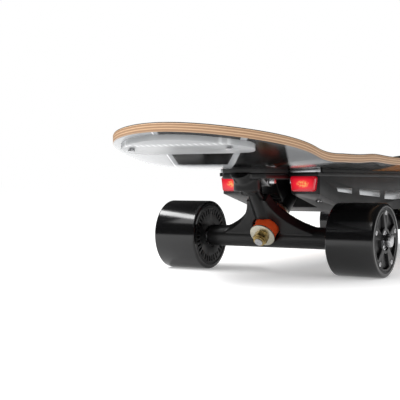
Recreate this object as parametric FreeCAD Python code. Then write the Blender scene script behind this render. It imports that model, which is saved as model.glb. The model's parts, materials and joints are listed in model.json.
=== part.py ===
"""Electric skateboard: kicked wooden deck, underslung battery box, two trucks, two hub motors.

Row frame, in millimetres: origin on the ground under the middle of the board, +X to the nose,
+Y to the rider's left, +Z up.  Each truck is built once in its own frame, where x runs outboard
from the axle, and is then placed at both ends.  Each wheel is built about +Z, where z is the
distance from the board's centre plane.
"""
import FreeCAD, Part
import math
import os

V = FreeCAD.Vector
UP = V(0, 0, 1)

# Board
WHEELBASE = 490.0
BOARD_LENGTH = 976.0
DECK_HALF_WIDTH = 115.0
DECK_THICKNESS = 9.0
DECK_BASE_Z = 120.3
TAIL_CENTRE_X = 365.0
TAIL_HALF_WIDTH = 111.0
TAIL_BLEND_X = 300.0
KICK_START_X = 317.0
KICK_RADIUS = 200.0
KICK_ANGLE = math.radians(12.5)
CONCAVE_RISE = 6.2
WHEEL_FLARE = 2.0
FLARE_X = 212.0
FLARE_REACH = 35.0
TAPE_THICKNESS = 0.7
TAPE_INSET = 0.6

# Battery box
BOX_HALF_WIDTH = 63.0
BOX_END_X = 260.0
LENS_DEPTH = 7.0
RAMP_FOOT_X = 155.0
BOX_BASE_Z = 69.0
RAMP_TOP_Z = 94.0
BOX_WALL = 2.5
SLOT_HALF_WIDTH = 28.5
SLOT_ROOT_X = 180.0
FLANGE_Z = 112.5
GASKET_Z = 116.8
FLANGE_OUTSET = 1.2
CAP_START_X = 246.0
POD_CORNER = 5.0
LENS_TAPER = 2.2
LENS_CORNER = 3.0
LENS_EDGE = 1.2
SCREW_PLACES = ((118.0, 52.0), (215.0, 46.0))
SCREW_RADIUS = 2.0
SCREW_HEAD_RADIUS = 3.6

PORT_X = 143.5
PORT_Z = 90.0
BUTTON_X = -143.5
HINGE_Y = 64.9
HINGE_Z = 101.0
HINGE_PIN_RADIUS = 0.75
LUG_RADIUS = 1.9

# Light bars
BAR_INSET = 8.0
BAR_EDGE_X = 425.0
BAR_THICKNESS = 5.5
BAR_CORNER = 12.0
BAR_SCREW = (450.0, 57.0)
BAR_BOARD_X = 460.0
BAR_BOARD_HALF = 45.0

# Truck, in its own frame
AXLE_Z = 41.5
AXLE_RADIUS = 4.0
AXLE_END = 144.6
BEAM_RADIUS = 12.7
BEAM_HALF_LENGTH = 82.9
WEB_HALF_THICKNESS = 7.0
WEB_EDGE = ((0.0, 78.0), (8.0, 64.0), (17.0, 46.0), (30.0, 29.0), (44.0, 18.0), (60.0, 12.0))
WASHER_CENTRE = V(25.4, 0, 44.7)
KINGPIN_ANGLE = math.radians(38.3)
KINGPIN_DIR = V(-math.cos(KINGPIN_ANGLE), 0, math.sin(KINGPIN_ANGLE))
KINGPIN_RADIUS = 4.8
RING_STATION = 22.0
RING_RADIUS = 20.5
RING_BORE = 8.5
PIVOT_POINT = V(60.0, 0, 105.0)
PIVOT_RADIUS = 7.5
CUP_RADIUS = 10.0
NOSE_REACH = 1.5
CUP_REACH = 4.2
BARREL_RADIUS = 13.5
TOWER_X = 63.0
TOWER_RADIUS = 15.0
TOWER_FOOT_Z = 95.0
RUNNING_GAP = 0.05
PLATE_Z = 109.3
RISER_Z = 115.8
PLATE_INNER_X = -30.0
PLATE_OUTER_X = 77.0
PLATE_HALF_WIDTH = 27.0
BOLT_X = (-10.0, 43.0)
BOLT_Y = 20.6
BOLT_RADIUS = 2.4
BOLT_HEAD_RADIUS = 4.9

# Wheels
WHEEL_RADIUS = 41.5
WHEEL_INNER = 83.75
WHEEL_OUTER = 139.75
TYRE_BORE = 36.6
TYRE_EDGE = 2.5
CAN_BORE = 34.4
COVER_THICKNESS = 3.2
BEARING_RADIUS = 11.0
BEARING_WIDTH = 7.0
SCREW_CIRCLE = 30.8
MAGNETS = 14
STATOR_RADIUS = 32.0
STATOR_TEETH = 12
HUB_SPOKES = 5

# Battery
CELL_RADIUS = 9.2
CELL_LENGTH = 65.0
CELL_PITCH = 18.8
CELL_BANK_PITCH = 67.0
CELL_FLOOR_Z = 72.3

RING_CENTRE = WASHER_CENTRE + KINGPIN_DIR * RING_STATION
PIVOT_DIR = (PIVOT_POINT - RING_CENTRE).normalize()
PIVOT_LENGTH = (PIVOT_POINT - RING_CENTRE).Length


def box(x0, x1, y0, y1, z0, z1):
    return Part.makeBox(x1 - x0, y1 - y0, z1 - z0, V(x0, y0, z0))


def rod(radius, start, direction, length):
    return Part.makeCylinder(radius, length, start, direction)


def tube(outer, inner, start, direction, length):
    return rod(outer, start, direction, length).cut(rod(inner, start, direction, length))


def prism_y(points, half_width):
    """A side profile of (x, z) points, extruded across the board."""
    corners = [V(x, -half_width, z) for x, z in points]
    face = Part.Face(Part.makePolygon(corners + corners[:1]))
    return face.extrude(V(0, 2 * half_width, 0))


def hexagon(circumradius, start, direction, length):
    """A hexagonal bar along any direction."""
    corners = []
    for step in range(7):
        angle = math.radians(60 * step)
        corners.append(V(circumradius * math.cos(angle), circumradius * math.sin(angle), 0))
    bar = Part.Face(Part.makePolygon(corners)).extrude(V(0, 0, length))
    bar.Placement = FreeCAD.Placement(start, FreeCAD.Rotation(UP, direction))
    return bar


def fillet_vertical(shape, radius):
    edges = [e for e in shape.Edges if abs(e.tangentAt(e.FirstParameter).z) > 0.999]
    return shape.makeFillet(radius, edges)


def turned(shape, degrees):
    copy = shape.copy()
    copy.rotate(V(0, 0, 0), UP, degrees)
    return copy


def both_ends(shapes):
    """The tail's pieces, then the same pieces turned round to the nose."""
    return list(shapes) + [turned(shape, 180) for shape in shapes]


def save(name, solids):
    shape = solids[0] if len(solids) == 1 else Part.makeCompound(solids)
    shape.exportStep(os.path.join("parts", name + ".step"))


# ---------------------------------------------------------------- deck

def kick_rise(x):
    """Height of the deck's centre line above its flat middle."""
    run = abs(x) - KICK_START_X
    if run <= 0:
        return 0.0
    arc_run = KICK_RADIUS * math.sin(KICK_ANGLE)
    if run < arc_run:
        return KICK_RADIUS - math.sqrt(KICK_RADIUS ** 2 - run ** 2)
    arc_rise = KICK_RADIUS * (1 - math.cos(KICK_ANGLE))
    return arc_rise + (run - arc_run) * math.tan(KICK_ANGLE)


def underside_z(x, y):
    across = abs(y) / DECK_HALF_WIDTH
    flare = WHEEL_FLARE * math.exp(-((abs(x) - FLARE_X) / FLARE_REACH) ** 2)
    return DECK_BASE_Z + kick_rise(x) + (CONCAVE_RISE + flare) * across ** 4


def deck_face(lift):
    """The deck's curved underside, wider than the deck, lifted straight up."""
    columns = [step * 12.5 for step in range(-41, 42)]
    rows = [step * 20.0 for step in range(-6, 7)]
    grid = [[V(x, y, underside_z(x, y) + lift) for y in rows] for x in columns]
    surface = Part.BSplineSurface()
    surface.interpolate(grid)
    return surface.toShape()


def curved_slab(bottom, top):
    """The layer between two heights above the deck's underside."""
    return deck_face(bottom).extrude(V(0, 0, top - bottom))


def outline(inset):
    """Plan of the deck: an elliptical tail and nose joined by nearly parallel rails."""
    tip = BOARD_LENGTH / 2 - inset
    narrow = TAIL_HALF_WIDTH - inset
    wide = DECK_HALF_WIDTH - inset
    edges = []
    for end in (1, -1):
        ellipse = Part.Ellipse(V(0, 0, 0), tip - TAIL_CENTRE_X, narrow)
        if tip - TAIL_CENTRE_X < narrow:
            raise ValueError("the tail has to be longer than it is wide")
        half = Part.ArcOfEllipse(ellipse, -math.pi / 2, math.pi / 2).toShape()
        half.rotate(V(0, 0, 0), UP, 0 if end > 0 else 180)
        half.translate(V(end * TAIL_CENTRE_X, 0, 0))
        edges.append(half)
    for side in (1, -1):
        for end in (1, -1):
            blend = Part.BSplineCurve()
            points = [V(end * TAIL_CENTRE_X, side * narrow, 0), V(end * TAIL_BLEND_X, side * wide, 0)]
            tangent = V(-end, 0, 0)
            blend.interpolate(Points=points, InitialTangent=tangent, FinalTangent=tangent)
            edges.append(blend.toShape())
        rail = Part.LineSegment(V(TAIL_BLEND_X, side * wide, 0), V(-TAIL_BLEND_X, side * wide, 0))
        edges.append(rail.toShape())
    wire = Part.Wire(Part.__sortEdges__(edges))
    return Part.Face(wire)


def outline_prism(inset):
    return outline(inset).extrude(V(0, 0, 250))


def bolt_holes(radius):
    """Eight vertical rods where the truck bolts pass."""
    rods = []
    for x in BOLT_X:
        for side in (1, -1):
            rods.append(rod(radius, V(-WHEELBASE / 2 - x, side * BOLT_Y, 95), UP, 60))
    return Part.makeCompound(both_ends(rods))


def make_deck():
    deck = curved_slab(0, DECK_THICKNESS).common(outline_prism(0))
    seats = bolt_holes(BOLT_HEAD_RADIUS + 0.2).cut(curved_slab(-40, DECK_THICKNESS - 1.8))
    return deck.cut([bolt_holes(BOLT_RADIUS + 0.2), seats]).Solids


def make_grip_tape():
    layer = curved_slab(DECK_THICKNESS + 0.02, DECK_THICKNESS + TAPE_THICKNESS)
    tape = layer.common(outline_prism(TAPE_INSET))
    return tape.cut(bolt_holes(BOLT_HEAD_RADIUS + 0.2)).Solids


# ---------------------------------------------------------------- battery box

def ramp_z(x):
    slope = (RAMP_TOP_Z - BOX_BASE_Z) / (BOX_END_X - RAMP_FOOT_X)
    return BOX_BASE_Z + max(0.0, abs(x) - RAMP_FOOT_X) * slope


def footprint(inset, end_x, z0, z1):
    """The box's plan with its two truck slots, as a straight-sided block."""
    half = BOX_HALF_WIDTH - inset
    block = box(-end_x, end_x, -half, half, z0, z1)
    block = fillet_vertical(block, 3.0)
    slot_half = SLOT_HALF_WIDTH + inset
    root = SLOT_ROOT_X - inset
    slots = [box(-end_x - 20, -root, -slot_half, slot_half, z0 - 1, z1 + 1)]
    return block.cut(Part.makeCompound(both_ends(slots)))


def side_profile(lift, top_z):
    """Everything above the box's floor and its two ramps."""
    ends = BOX_END_X + 20
    points = [(-ends, top_z), (-ends, ramp_z(ends) + lift), (-RAMP_FOOT_X, BOX_BASE_Z + lift),
              (RAMP_FOOT_X, BOX_BASE_Z + lift), (ends, ramp_z(ends) + lift), (ends, top_z)]
    return prism_y(points, BOX_HALF_WIDTH + 10)


def window_blocks(depth_in, proud):
    """Slanted side windows, as blocks through the outer skin of both walls."""
    tops = ((-202, 94.5, 99.4, -155, 91.6, 98.2), (-132, 90.0, 97.6, -58, 86.0, 94.9))
    blocks = []
    for x0, low0, high0, x1, low1, high1 in tops:
        blocks.append(prism_y([(x0, high0), (x0 + 3, low0), (x1, low1), (x1, high1)], 200))
    blocks = both_ends(blocks)
    blocks.append(prism_y([(-40, 94.3), (-41, 83.6), (0, 82.2), (41, 83.6), (40, 94.3), (0, 93.9)], 200))
    inner = BOX_HALF_WIDTH - depth_in
    outer = BOX_HALF_WIDTH + proud
    skins = [box(-300, 300, inner, outer, 60, 120), box(-300, 300, -outer, -inner, 60, 120)]
    return [block.common(skin) for block in blocks for skin in skins]


def screw_posts(radius, top_z):
    posts = []
    for x, y in SCREW_PLACES:
        for side in (1, -1):
            posts.append(rod(radius, V(-x, side * y, ramp_z(x) - 8), UP, top_z - ramp_z(x) + 8))
    return both_ends(posts)


def make_enclosure_shell():
    lens_x = BOX_END_X - LENS_DEPTH
    outer = footprint(0, lens_x, 60, FLANGE_Z).common(side_profile(0, FLANGE_Z))
    cavity = footprint(BOX_WALL, lens_x - BOX_WALL, 60, FLANGE_Z + 1)
    shell = outer.cut(cavity.common(side_profile(BOX_WALL, FLANGE_Z + 1)))
    posts = Part.makeCompound(screw_posts(5.0, FLANGE_Z)).common(outer)
    shell = shell.fuse([posts] + hinge_lugs())
    shell = shell.cut(Part.makeCompound(screw_posts(SCREW_RADIUS + 0.2, 130)))
    shell = shell.cut(Part.makeCompound(screw_recesses()))
    shell = shell.cut(Part.makeCompound(window_blocks(0.8, 2.0)))
    wall_y = BOX_HALF_WIDTH - BOX_WALL - 1
    shell = shell.cut(rod(9.0, V(BUTTON_X, wall_y, PORT_Z), V(0, 1, 0), 10))
    shell = shell.cut(rod(7.0, V(PORT_X, wall_y, PORT_Z), V(0, 1, 0), 10))
    for side in (1, -1):
        hole = rod(4.0, V(-SLOT_ROOT_X - 1, side * 14, 98), V(1, 0, 0), 8)
        shell = shell.cut(hole)
    return shell.removeSplitter().Solids


def screw_recesses():
    """Counterbores in the floor, deep enough to bury each screw head."""
    holes = []
    for x, y in SCREW_PLACES:
        for side in (1, -1):
            holes.append(rod(SCREW_HEAD_RADIUS + 0.3, V(-x, side * y, ramp_z(x) - 8), UP, 9.5))
    return both_ends(holes)


def make_enclosure_flange():
    rim = footprint(-FLANGE_OUTSET, BOX_END_X, FLANGE_Z, GASKET_Z)
    return rim.cut(footprint(BOX_WALL + 1.5, BOX_END_X - 12, FLANGE_Z - 1, GASKET_Z + 1)).Solids


def pod_blocks(x0, x1, y_grow, z0, z1):
    """One block at each of the four lamp pods."""
    inner = SLOT_HALF_WIDTH - y_grow
    outer = BOX_HALF_WIDTH + y_grow
    corner = min(POD_CORNER, (x1 - x0) / 2 - 0.1)
    pods = [box(-x1, -x0, inner, outer, z0, z1), box(-x1, -x0, -outer, -inner, z0, z1)]
    return both_ends([fillet_vertical(pod, corner) for pod in pods])


def make_enclosure_gasket():
    ring = footprint(0.3, BOX_END_X - 1, GASKET_Z, 130)
    ring = ring.cut(footprint(BOX_WALL + 2, BOX_END_X - 12, GASKET_Z - 1, 131))
    ring = ring.cut(Part.makeCompound(pod_blocks(CAP_START_X - 3, 300, 3, 110, 131)))
    return ring.cut(curved_slab(0, 30)).Solids


def make_light_pod_caps():
    caps = pod_blocks(CAP_START_X, BOX_END_X + 0.5, 0.5, GASKET_Z, 130)
    return [cap.cut(curved_slab(0, 30)) for cap in caps]


def lens_block(side):
    """A tail lens as a solid: narrower at the foot, with its corners and front edge rounded."""
    start = -BOX_END_X + LENS_DEPTH
    low = ramp_z(BOX_END_X) + 1.0
    inner = SLOT_HALF_WIDTH + 1.0
    outer = BOX_HALF_WIDTH - 1.5
    corners = [V(start, side * inner, FLANGE_Z), V(start, side * outer, FLANGE_Z),
               V(start, side * (outer - LENS_TAPER), low), V(start, side * (inner + LENS_TAPER), low)]
    lens = Part.Face(Part.makePolygon(corners + corners[:1])).extrude(V(-LENS_DEPTH, 0, 0))
    long_edges = [e for e in lens.Edges if abs(e.tangentAt(e.FirstParameter).x) > 0.999]
    lens = lens.makeFillet(LENS_CORNER, long_edges)
    front_edges = [e for e in lens.Edges if e.BoundBox.XMax < -BOX_END_X + 0.01]
    return lens.makeFillet(LENS_EDGE, front_edges)


def make_pod_lenses():
    """Four lamp lenses, each hollow behind its face: two red at the tail, two clear at the nose."""
    start = BOX_END_X - LENS_DEPTH
    pods = both_ends([lens_block(side) for side in (1, -1)])
    hollows = pod_blocks(start - 2, BOX_END_X - 2, -5.5, ramp_z(BOX_END_X) + 3.2, FLANGE_Z - 2)
    return [pod.cut(hollow) for pod, hollow in zip(pods, hollows)]


def make_lamp_boards():
    """Circuit boards with their light-emitting chips, behind the lenses and in the light bars."""
    start = BOX_END_X - LENS_DEPTH
    low = ramp_z(BOX_END_X) + 3.6
    boards = pod_blocks(start, start + 1.2, -6.0, low, FLANGE_Z - 3)[:2]
    lit = []
    for board in boards:
        middle = board.BoundBox.Center
        chips = []
        for y_step in (-1, 0, 1):
            for z_step in (-0.5, 0.5):
                y = middle.y + 7 * y_step
                z = middle.z + 5 * z_step
                chips.append(box(-start - 2.2, -start - 1.1, y - 1.7, y + 1.7, z - 1.7, z + 1.7))
        lit.append(board.fuse(chips))
    return both_ends(lit + [light_bar_board()])


def light_bar_plan(inset):
    """The tail's outline cut off square, with its two corners rounded."""
    prism = outline_prism(inset).common(box(-600, -BAR_EDGE_X, -200, 200, 0, 250))
    corners = [e for e in prism.Edges if abs(e.tangentAt(e.FirstParameter).z) > 0.999]
    corners = [e for e in corners if abs(e.BoundBox.Center.y) > 20]
    return prism.makeFillet(BAR_CORNER, corners)


def light_bar_pocket(grow):
    """Space for the row of chips, let into the bar's upper face."""
    half = BAR_BOARD_HALF + grow
    plan = box(-BAR_BOARD_X - 4 - grow, -BAR_BOARD_X + 4 + grow, -half, half, 100, 200)
    return plan.common(curved_slab(-2.6 + grow - 1, 0))


def light_bar_board():
    strip = box(-BAR_BOARD_X - 4, -BAR_BOARD_X + 4, -BAR_BOARD_HALF, BAR_BOARD_HALF, 100, 200)
    board = strip.common(curved_slab(-1.4, -0.2))
    chips = []
    for step in range(-6, 7):
        y = step * 7.0
        z = underside_z(BAR_BOARD_X, y) - 1.2
        chips.append(box(-BAR_BOARD_X - 1.3, -BAR_BOARD_X + 1.3, y - 1.3, y + 1.3, z - 1.0, z))
    return board.fuse(chips)


def make_light_bars():
    bar = light_bar_plan(BAR_INSET).common(curved_slab(-BAR_THICKNESS, -0.05))
    x, y = BAR_SCREW
    holes = [rod(SCREW_RADIUS + 0.2, V(-x, side * y, 100), UP, 100) for side in (1, -1)]
    bar = bar.cut(light_bar_pocket(0.4)).cut(holes)
    return both_ends([bar])


def make_housing_screws():
    screws = []
    for x, y in SCREW_PLACES:
        for side in (1, -1):
            seat = ramp_z(x) + 1.5
            head = rod(SCREW_HEAD_RADIUS, V(-x, side * y, seat - 2.2), UP, 2.2)
            socket = hexagon(1.8, V(-x, side * y, seat - 2.3), UP, 1.3)
            shank = rod(SCREW_RADIUS, V(-x, side * y, seat - 0.1), UP, underside_z(x, y) - seat)
            screws.append(head.cut(socket).fuse(shank))
    x, y = BAR_SCREW
    for side in (1, -1):
        seat = underside_z(x, y) - BAR_THICKNESS - 1.6
        head = rod(3.4, V(-x, side * y, seat - 1.6), UP, 2.2)
        socket = hexagon(1.6, V(-x, side * y, seat - 1.7), UP, 1.1)
        shank = rod(SCREW_RADIUS, V(-x, side * y, seat), UP, BAR_THICKNESS + 0.6)
        screws.append(head.cut(socket).fuse(shank))
    return both_ends(screws)


# ---------------------------------------------------------------- inside the box

def make_battery_cells():
    """Three banks of cells lying along the board, six across and two deep."""
    cells = []
    for bank in (-1, 0, 1):
        x = bank * CELL_BANK_PITCH - CELL_LENGTH / 2
        for row in range(6):
            for layer in (0, 1):
                y = (row - 2.5) * CELL_PITCH
                z = CELL_FLOOR_Z + CELL_RADIUS + layer * CELL_PITCH
                can = rod(CELL_RADIUS, V(x, y, z), V(1, 0, 0), CELL_LENGTH - 1)
                cap = rod(3.0, V(x + CELL_LENGTH - 1.2, y, z), V(1, 0, 0), 1.0)
                cells.append(can.fuse(cap))
    return cells


def make_battery_spacers():
    """Thin plates between the banks and at both ends of the pack."""
    plates = []
    for step in (-1.5, -0.5, 0.5, 1.5):
        x = step * CELL_BANK_PITCH
        plates.append(box(x - 0.6, x + 0.6, -58, 58, CELL_FLOOR_Z - 0.5, CELL_FLOOR_Z + 38.5))
    return plates


def circuit_board(x, width, height_z, blocks):
    """A board across the box, with its tallest components as plain blocks."""
    board = box(x - width / 2, x + width / 2, -38, 38, height_z, height_z + 1.6)
    parts = []
    for dx, y, size_x, size_y, tall in blocks:
        parts.append(box(x + dx - size_x / 2, x + dx + size_x / 2, y - size_y / 2, y + size_y / 2,
                         height_z + 1.5, height_z + 1.6 + tall))
    return [board.fuse(parts)]


def make_bms_board():
    blocks = [(0, y, 8, 7, 3) for y in (-30, -18, -6, 6, 18, 30)]
    return circuit_board(-132, 34, 84, blocks)


def make_esc_board():
    blocks = [(-7, y, 9, 10, 4) for y in (-30, -18, -6, 6, 18, 30)]
    blocks += [(9, y, 10, 10, 16) for y in (-26, -13, 0)]
    return circuit_board(130, 36, 80, blocks)


def make_charge_socket():
    """A round socket in the left wall, with a centre pin."""
    base = V(PORT_X, BOX_HALF_WIDTH - 13, PORT_Z)
    out = V(0, 1, 0)
    body = rod(7.0, base, out, 12.4)
    body = body.cut(rod(4.2, base + out * 2.5, out, 12))
    return [body.fuse(rod(1.0, base + out * 2, out, 9))]


def make_power_button_bezel():
    base = V(BUTTON_X, BOX_HALF_WIDTH - 8, PORT_Z)
    out = V(0, 1, 0)
    body = rod(9.0, base, out, 8.9)
    return [body.cut(rod(7.1, base + out * 2, out, 12))]


def make_power_button():
    base = V(BUTTON_X, BOX_HALF_WIDTH - 3.4, PORT_Z)
    out = V(0, 1, 0)
    cap = rod(7.0, base, out, 5.0)
    return [cap.makeFillet(0.7, [cap.Edges[0]])]


def make_charge_port_cover():
    """A flap that hangs from a pinned barrel above the socket and closes over it."""
    y0 = HINGE_Y - 1.5
    flap = box(PORT_X - 9, PORT_X + 9, y0, y0 + 2.2, PORT_Z - 10, HINGE_Z - 2.5)
    edges = [e for e in flap.Edges if abs(e.tangentAt(e.FirstParameter).y) > 0.999]
    flap = flap.makeFillet(3.0, [e for e in edges if e.BoundBox.Center.z < PORT_Z])
    neck = box(PORT_X - 6.5, PORT_X + 6.5, y0, y0 + 2.2, HINGE_Z - 3, HINGE_Z)
    barrel = rod(1.5, V(PORT_X - 7, HINGE_Y, HINGE_Z), V(1, 0, 0), 14)
    pin = rod(HINGE_PIN_RADIUS, V(PORT_X - 9, HINGE_Y, HINGE_Z), V(1, 0, 0), 18)
    return [flap.fuse([neck, barrel, pin]).removeSplitter()]


def hinge_lugs():
    """Two ears on the left wall that hold the flap's pin."""
    ears = []
    for side in (1, -1):
        x0 = PORT_X + side * 8.4 - 1.0
        ear = rod(LUG_RADIUS, V(x0, HINGE_Y, HINGE_Z), V(1, 0, 0), 2)
        root = box(x0, x0 + 2, BOX_HALF_WIDTH - 1, HINGE_Y, HINGE_Z - LUG_RADIUS, HINGE_Z + LUG_RADIUS)
        hole = rod(HINGE_PIN_RADIUS + RUNNING_GAP, V(x0 - 1, HINGE_Y, HINGE_Z), V(1, 0, 0), 4)
        ears.append(ear.fuse(root).cut(hole))
    return ears


def make_motor_cable_glands():
    glands = []
    for side in (1, -1):
        base = V(-SLOT_ROOT_X, side * 14, 98)
        collar = hexagon(6.5, base, V(-1, 0, 0), 4)
        nose = rod(4.6, base, V(-1, 0, 0), 9)
        tail = rod(3.9, base, V(1, 0, 0), 6)
        gland = collar.fuse([nose, tail]).cut(rod(2.4, base - V(10, 0, 0), V(1, 0, 0), 18))
        glands.append(gland)
    return glands


# ---------------------------------------------------------------- truck

def station(distance):
    """A point on the kingpin's line, measured up from the road-side washer."""
    return WASHER_CENTRE + KINGPIN_DIR * distance


def kingpin_rod(radius, start, end):
    return rod(radius, station(start), KINGPIN_DIR, end - start)


def pivot_at(distance):
    return RING_CENTRE + PIVOT_DIR * distance


def pivot_cone(radius0, radius1, start, end):
    return Part.makeCone(radius0, radius1, end - start, pivot_at(start), PIVOT_DIR)


def hanger_web():
    """A flat triangle square to the kingpin: both arms sweep in from the beam to the neck."""
    up_web = V(math.sin(KINGPIN_ANGLE), 0, math.cos(KINGPIN_ANGLE))
    foot = V(0, 0, AXLE_Z) - KINGPIN_DIR * WEB_HALF_THICKNESS
    side = [foot + up_web * rise + V(0, half_width, 0) for rise, half_width in WEB_EDGE]
    other = [foot + up_web * rise - V(0, half_width, 0) for rise, half_width in WEB_EDGE]
    curves = []
    for points in (side, other):
        curve = Part.BSplineCurve()
        curve.interpolate(Points=points)
        curves.append(curve.toShape())
    for index in (0, -1):
        curves.append(Part.LineSegment(side[index], other[index]).toShape())
    face = Part.Face(Part.Wire(Part.__sortEdges__(curves)))
    return face.extrude(KINGPIN_DIR * 2 * WEB_HALF_THICKNESS)


def build_hanger():
    """Casting: beam, ring round the kingpin, nose in the pivot cup, arms between them."""
    beam = rod(BEAM_RADIUS, V(0, -BEAM_HALF_LENGTH, AXLE_Z), V(0, 1, 0), 2 * BEAM_HALF_LENGTH)
    ring = kingpin_rod(RING_RADIUS, 12, 30)
    neck = pivot_cone(13.0, 9.0, 10, 38)
    nose = pivot_cone(9.0, PIVOT_RADIUS, 37.9, 54)
    tip = rod(PIVOT_RADIUS, pivot_at(53.9), PIVOT_DIR, PIVOT_LENGTH + NOSE_REACH - 53.9)
    casting = beam.fuse([ring, neck, nose, tip, hanger_web()])
    spaces = [kingpin_rod(16.6, -30, 17), kingpin_rod(16.0, 27, 38), kingpin_rod(19.5, 37.9, 60),
              kingpin_rod(RING_BORE, 10, 40)]
    for side in (1, -1):
        start = V(0, side * 30, AXLE_Z)
        spaces.append(rod(AXLE_RADIUS, start, V(0, side, 0), 60))
    return casting.cut(spaces).removeSplitter()


def neck_space():
    """Room round the pivot's line for the hanger's neck and web to swing in."""
    return pivot_cone(30.0, 17.5, 10, 62.1)


def build_baseplate():
    """Casting: bolted plate, barrel for the pivot cup, boss that holds the kingpin."""
    plate = box(PLATE_INNER_X, PLATE_OUTER_X, -PLATE_HALF_WIDTH, PLATE_HALF_WIDTH, PLATE_Z, RISER_Z)
    plate = fillet_vertical(plate, 8.0)
    barrel = rod(BARREL_RADIUS, pivot_at(62), PIVOT_DIR, 30)
    tower = rod(TOWER_RADIUS, V(TOWER_X, 0, TOWER_FOOT_Z), UP, RISER_Z - TOWER_FOOT_Z)
    shoulder = prism_y([(14, PLATE_Z + 2), (24, 98), (TOWER_X, 98), (TOWER_X, PLATE_Z + 2)], 10.0)
    boss = kingpin_rod(15.0, 43, 75)
    gusset_points = [(-30, PLATE_Z + 2), (-34, 96), (-14, 76), (-2, 84), (16, PLATE_Z + 2)]
    gusset = prism_y(gusset_points, 11.0)
    keel = prism_y([(0, PLATE_Z + 2), (8, 101), (52, 101), (60, PLATE_Z + 2)], 4.0)
    casting = plate.fuse([barrel, tower, shoulder, boss, gusset, keel])
    lid = box(-120, 150, -60, 60, RISER_Z, RISER_Z + 60)
    cuts = [lid, rod(CUP_RADIUS, pivot_at(55), PIVOT_DIR, PIVOT_LENGTH + CUP_REACH - 55),
            kingpin_rod(KINGPIN_RADIUS, 40, 72), kingpin_rod(19.6, 30, 43), neck_space()]
    for x in BOLT_X:
        for side in (1, -1):
            cuts.append(rod(BOLT_RADIUS + 0.2, V(x, side * BOLT_Y, 90), UP, 40))
            cuts.append(rod(6.0, V(x, side * BOLT_Y, 90), UP, PLATE_Z - 90))
    return casting.cut(cuts).removeSplitter()


def build_pivot_cup():
    """A urethane cup that the hanger's nose turns in."""
    cup = rod(CUP_RADIUS, pivot_at(60), PIVOT_DIR, PIVOT_LENGTH + CUP_REACH - 60)
    return cup.cut(rod(PIVOT_RADIUS + RUNNING_GAP, pivot_at(59), PIVOT_DIR, PIVOT_LENGTH + NOSE_REACH + 0.2 - 59))


def build_bushing(radius, start, end):
    """A urethane ring with a slightly pinched waist."""
    waist = (start + end) / 2
    half = (end - start) / 2
    lower = Part.makeCone(radius, radius - 1.2, half, station(start), KINGPIN_DIR)
    upper = Part.makeCone(radius - 1.2, radius, half, station(waist), KINGPIN_DIR)
    return lower.fuse(upper).cut(kingpin_rod(KINGPIN_RADIUS, start - 1, end + 1)).removeSplitter()


def build_flat_washer():
    """The washer between the nut and the road-side bushing."""
    return kingpin_rod(15.0, -1, 1).cut(kingpin_rod(KINGPIN_RADIUS, -2, 2))


def build_cup_washer():
    """The washer on the board-side bushing: a disc with a low rim round the bushing."""
    cup = kingpin_rod(17.0, 39.4, 43).cut(kingpin_rod(15.8, 39, 41))
    return cup.cut(kingpin_rod(KINGPIN_RADIUS, 38, 44))


def build_kingpin_nut():
    nut = hexagon(8.6, station(-9.5), KINGPIN_DIR, 8.5)
    collar = kingpin_rod(6.6, -11.5, -9.4)
    return nut.fuse(collar).cut(kingpin_rod(KINGPIN_RADIUS, -14, 2))


def build_axle(side):
    start = V(0, side * 30, AXLE_Z)
    return rod(AXLE_RADIUS, start, V(0, side, 0), AXLE_END - 30)


def build_axle_nut(side):
    """A washer and a domed nut on the axle's end."""
    out = V(0, side, 0)
    washer = rod(6.0, V(0, side * 138.3, AXLE_Z), out, 2.2)
    nut = hexagon(8.2, V(0, side * 140.4, AXLE_Z), out, 5.0)
    collar = rod(6.8, V(0, side * 145.3, AXLE_Z), out, 0.9)
    bore = rod(AXLE_RADIUS, V(0, side * 130, AXLE_Z), out, AXLE_END - 130)
    return washer.fuse([nut, collar]).cut(bore)


def at_end(shape, end):
    """Moves a piece from the truck's own frame to the nose (1) or the tail (-1)."""
    copy = shape.copy()
    copy.translate(V(WHEELBASE / 2, 0, 0))
    return copy if end > 0 else turned(copy, 180)


def on_both_trucks(shapes):
    return [at_end(shape, end) for end in (-1, 1) for shape in shapes]


def make_risers():
    pad = box(PLATE_INNER_X, PLATE_OUTER_X, -PLATE_HALF_WIDTH, PLATE_HALF_WIDTH, RISER_Z, 130)
    pad = fillet_vertical(pad, 8.0)
    pads = on_both_trucks([pad])
    holes = bolt_holes(BOLT_RADIUS + 0.2)
    return [pad.cut(curved_slab(0, 30)).cut(holes) for pad in pads]


def make_truck_bolts():
    bolts = []
    for x in BOLT_X:
        for side in (1, -1):
            top = underside_z(0, BOLT_Y) + DECK_THICKNESS + TAPE_THICKNESS + 0.3
            shank = rod(BOLT_RADIUS, V(x, side * BOLT_Y, 102.4), UP, top - 104)
            head = Part.makeCone(BOLT_RADIUS, BOLT_HEAD_RADIUS, 2.6, V(x, side * BOLT_Y, top - 2.6), UP)
            socket = hexagon(2.0, V(x, side * BOLT_Y, top - 1.6), UP, 3)
            bolts.append(shank.fuse(head).cut(socket))
    return on_both_trucks(bolts)


def make_truck_nuts():
    nuts = []
    for x in BOLT_X:
        for side in (1, -1):
            nut = hexagon(5.2, V(x, side * BOLT_Y, PLATE_Z - 5.2), UP, 5.2)
            nuts.append(nut.cut(rod(BOLT_RADIUS, V(x, side * BOLT_Y, 95), UP, 20)))
    return on_both_trucks(nuts)


# ---------------------------------------------------------------- wheels

def ring_z(outer, inner, z0, z1):
    return tube(outer, inner, V(0, 0, z0), UP, z1 - z0)


def sector(outer, inner, z0, z1, middle, spread):
    """Part of a ring, centred on an angle in degrees."""
    wedge = Part.makeCylinder(outer, z1 - z0, V(0, 0, z0), UP, spread)
    wedge = wedge.cut(rod(inner, V(0, 0, z0 - 1), UP, z1 - z0 + 2))
    return turned(wedge, middle - spread / 2)


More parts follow.
